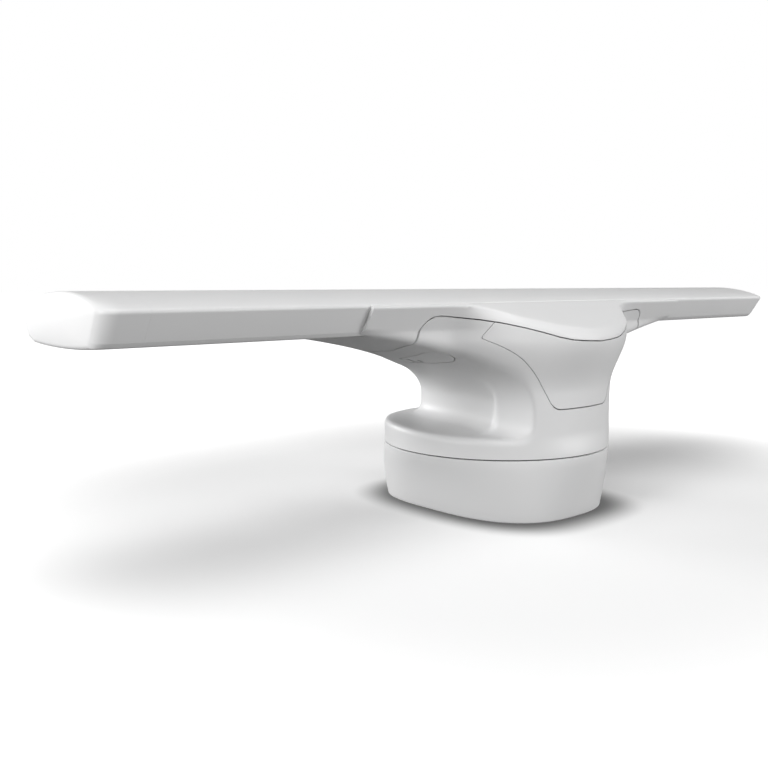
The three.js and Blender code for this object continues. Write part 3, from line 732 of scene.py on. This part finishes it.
def turret_pieces():
    """One hollow body, divided along its seams into the mouldings."""
    whole = field_mesh("whole", OUTER_CELL, 0, "white_shell")
    cut(whole, field_mesh("hollow", INNER_CELL, WALL))
    cut(whole, prism_x("ends", rectangle(0, 200, 300, 200), -HUB_HALF, HUB_HALF), "INTERSECT")
    cut(whole, prism_x("beam_space", beam_section(0.4), -500, 500))
    fairing = cut(duplicate(whole, "nose_fairing"), above_seam(), "INTERSECT")
    turret = cut(whole, below_seam(), "INTERSECT")
    turret.name = "turret_moulding"
    cover = cut(duplicate(turret, "front_panel"), cover_window(0), "INTERSECT")
    cut(turret, cover_window(CUT))
    plugs = {}
    for name, side in (("left", -1), ("right", 1)):
        plugs[name] = cut(duplicate(turret, f"plug_{name}"), plug_window(side, 0), "INTERSECT")
        cut(turret, plug_window(side, PLUG_GAP))
        for y in KEY_SLOTS_Y:
            cut(plugs[name], key_slot(side, y))
    for piece in (fairing, turret, cover, *plugs.values()):
        smooth(piece, 40)
    return turret, cover, fairing, plugs


# ---- beam --------------------------------------------------------------------------------------------
def beam_section(grow=0.0, narrow_front=0.0, narrow_back=0.0, flatten=0.0):
    """The beam's section as (y, z) points: slanted in front, rounder behind. It can be grown by some
    millimetres, narrowed in front or behind, and flattened by a share of its height."""
    crown = [(y, TOP_EDGE[1] + 1 + CROWN * (1 - (abs(y) / TOP_EDGE[0]) ** 2.2) + grow, 0)
             for y in np.linspace(92, -92, 25)]
    front = [(-TOP_EDGE[0] - grow, TOP_EDGE[1], 4), (-LOW_EDGE[0] - grow, LOW_EDGE[1] - grow / 2, 5),
             (6 - LOW_EDGE[0] - grow, LOW_EDGE[1] - 5.5 - grow, 8)]
    back = [(80 + grow, 180.5 - grow, 10), (98 + grow, 187 - grow / 2, 14), (107 + grow, 208, 14),
            (103 + grow, 221.5, 8)]
    keel = [(y, KEEL_Z + 2.2 * (y / 70) ** 2 - grow, 0) for y in np.linspace(-66, 66, 11)]
    points = []
    for y, z in rounded(back + crown + front + keel, 5):
        narrow = narrow_front if y < 0 else narrow_back
        height = BEAM_MIDDLE + (z - BEAM_MIDDLE) * (1 - flatten)
        points.append((y * (1 - narrow / TOP_EDGE[0]), SEAM_Z + height))
    return points


def beam_radome():
    half = BEAM_JOINT - JOINT_GAP
    spans = np.linspace(-half, half, 9)
    rings = [[(x, *p) for p in beam_section()] for x in spans]
    rings += [[(x, *p) for p in beam_section(-BEAM_WALL)] for x in spans[::-1]]
    return smooth(loft("beam_radome", rings, "white_shell", closed=True))


def round_over(x, end, radius):
    """How far an edge of this radius has drawn in at x, short of the end."""
    along = min(radius, max(0.0, x - (end - radius)))
    return radius - math.sqrt(radius * radius - along * along)


def cap_rings(grow, end):
    """From the joint out over the end: the upright corners draw in, then the rim rounds over."""
    rings = []
    for angle in np.linspace(0, math.pi / 2, 26):
        x = mix(BEAM_JOINT + JOINT_GAP, end, math.sin(angle))
        front = round_over(x, end, CAP_CORNER_FRONT)
        back = round_over(x, end, CAP_CORNER_BACK)
        flatten = round_over(x, end, CAP_RIM) / BEAM_HALF_HEIGHT
        rings.append([(x, *p) for p in beam_section(grow, front, back, flatten)])
    last = np.array(rings[-1])
    centre = last.mean(axis=0)
    slight_dome = ((0.98, 0.05), (0.94, 0.15), (0.7, 0.5), (0.3, 0.8))
    for share, out in slight_dome:
        ring = centre + (last - centre) * share
        ring[:, 0] = last[0, 0] + out
        rings.append([tuple(p) for p in ring])
    return rings


def beam_end(side, name):
    outside = cap_rings(0, BEAM_END)
    inside = cap_rings(-BEAM_WALL, BEAM_END - BEAM_WALL)
    rings = [[(side * x, y, z) for x, y, z in ring] for ring in inside[::-1] + outside]
    return smooth(loft(name, rings, "white_shell"))


# ---- every piece in its place ------------------------------------------------------------------------
def place(obj, body, node):
    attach(obj, body)
    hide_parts(node)


def build():
    dress_cad_nodes()
    place(base_pan(), "pedestal", "base_pan")
    place(seal_ring(), "pedestal", "turret_seal")
    for side in ("power", "data"):
        place(panel_socket(f"{side}_socket", f"{side}_connector"), "pedestal", f"{side}_socket")
    turret, cover, fairing, plugs = turret_pieces()
    place(turret, "turret", "turret_shell")
    place(cover, "turret", "front_cover")
    place(fairing, "turret", "hub_fairing")
    for name, plug in plugs.items():
        place(plug, "turret", f"bolt_plug_{name}")
    place(beam_radome(), "turret", "beam_shell")
    place(beam_end(-1, "beam_end_left"), "turret", "end_cap_left")
    place(beam_end(1, "beam_end_right"), "turret", "end_cap_right")


# ---- studio ------------------------------------------------------------------------------------------
def camera():
    data = bpy.data.cameras.new("camera")
    data.sensor_width = 36
    data.lens = LENS
    data.clip_end = 50
    obj = bpy.data.objects.new("camera", data)
    obj.location = CAMERA_AT
    obj.rotation_euler = (math.radians(90 - CAMERA_PITCH), 0, -math.radians(CAMERA_HEADING))
    bpy.context.scene.collection.objects.link(obj)
    bpy.context.scene.camera = obj


def area_light(name, place_at, size, power):
    data = bpy.data.lights.new(name, "AREA")
    data.shape = "RECTANGLE"
    data.size, data.size_y = size
    data.energy = power
    obj = bpy.data.objects.new(name, data)
    obj.location = place_at
    obj.rotation_euler = (Vector(AIM) - Vector(place_at)).to_track_quat("-Z", "Y").to_euler()
    bpy.context.scene.collection.objects.link(obj)


def seen_or_lit(tree, seen, lit, output):
    """Shows the camera one shader or background and the lights another."""
    ray = tree.nodes.new("ShaderNodeLightPath")
    blend = tree.nodes.new("ShaderNodeMixShader")
    tree.links.new(ray.outputs["Is Camera Ray"], blend.inputs[0])
    tree.links.new(lit.outputs[0], blend.inputs[1])
    tree.links.new(seen.outputs[0], blend.inputs[2])
    tree.links.new(blend.outputs[0], tree.nodes[output].inputs["Surface"])


def falloff(material, half_x, half_y, near, far, low, high):
    """A value that grows from low to high with the distance from the origin, in rounded rectangles."""
    nodes, links = material.node_tree.nodes, material.node_tree.links
    coords = nodes.new("ShaderNodeTexCoord")
    apart = nodes.new("ShaderNodeSeparateXYZ")
    links.new(coords.outputs["Object"], apart.inputs[0])

    def maths(operation, first, second):
        node = nodes.new("ShaderNodeMath")
        node.operation = operation
        for socket_in, value in zip(node.inputs, (first, second)):
            if isinstance(value, float):
                socket_in.default_value = value
            else:
                links.new(value, socket_in)
        return node.outputs[0]

    squareness = 3.0
    powers = []
    for axis, half in (("X", half_x), ("Y", half_y)):
        share = maths("DIVIDE", apart.outputs[axis], half)
        powers.append(maths("POWER", maths("ABSOLUTE", share, 0.0), squareness))
    spread = nodes.new("ShaderNodeMapRange")
    spread.interpolation_type = "SMOOTHSTEP"
    spread.inputs["From Min"].default_value = near
    spread.inputs["From Max"].default_value = far
    spread.inputs["To Min"].default_value = low
    spread.inputs["To Max"].default_value = high
    links.new(maths("POWER", maths("ADD", *powers), 1 / squareness), spread.inputs["Value"])
    return spread.outputs["Result"]


def floor():
    """White to the camera, with a painted contact shadow round the pan, its colour darkened near the foot;
    to the lights a dull grey, so that little of it shines up on the undersides."""
    mesh = bpy.data.meshes.new("floor")
    mesh.from_pydata([(x, y, 0) for x, y in rectangle(0, 0, 30, 30)], [], [(0, 1, 2, 3)])
    obj = bpy.data.objects.new("floor", mesh)
    bpy.context.scene.collection.objects.link(obj)
    material = new_material("floor", (0.85, 0.85, 0.85), 0.9)
    tree = material.node_tree
    shader = tree.nodes["Principled BSDF"]
    shader.inputs["Emission Color"].default_value = (1, 1, 1, 1)
    glow = falloff(material, 1.0, 1.0, 0.45, 1.25, 0.1, 1.0)
    tree.links.new(glow, shader.inputs["Emission Strength"])
    # painted shadow: the floor's colour is darkened round the pan's foot, standing in for the shade under
    # it
    painted_contact_shadow = falloff(material, 0.133, 0.161, 0.97, 1.42, 0.03, 0.85)
    tree.links.new(painted_contact_shadow, shader.inputs["Base Color"])
    bounce = tree.nodes.new("ShaderNodeBsdfDiffuse")
    bounce.inputs["Color"].default_value = (FLOOR_BOUNCE, FLOOR_BOUNCE, FLOOR_BOUNCE, 1)
    seen_or_lit(tree, shader, bounce, "Material Output")
    mesh.materials.append(material)


def world():
    """A white backdrop that gives only a little light."""
    data = bpy.data.worlds.new("world")
    bpy.context.scene.world = data
    data.use_nodes = True
    tree = data.node_tree
    sky = tree.nodes["Background"]
    backdrop = tree.nodes.new("ShaderNodeBackground")
    for background, strength in ((sky, SKY), (backdrop, 1.0)):
        background.inputs["Color"].default_value = (1, 1, 1, 1)
        background.inputs["Strength"].default_value = strength
    seen_or_lit(tree, backdrop, sky, "World Output")


def studio():
    bpy.context.scene.view_settings.view_transform = "Standard"
    world()
    floor()
    for light in LIGHTS:
        area_light(*light)


camera()
build()
studio()
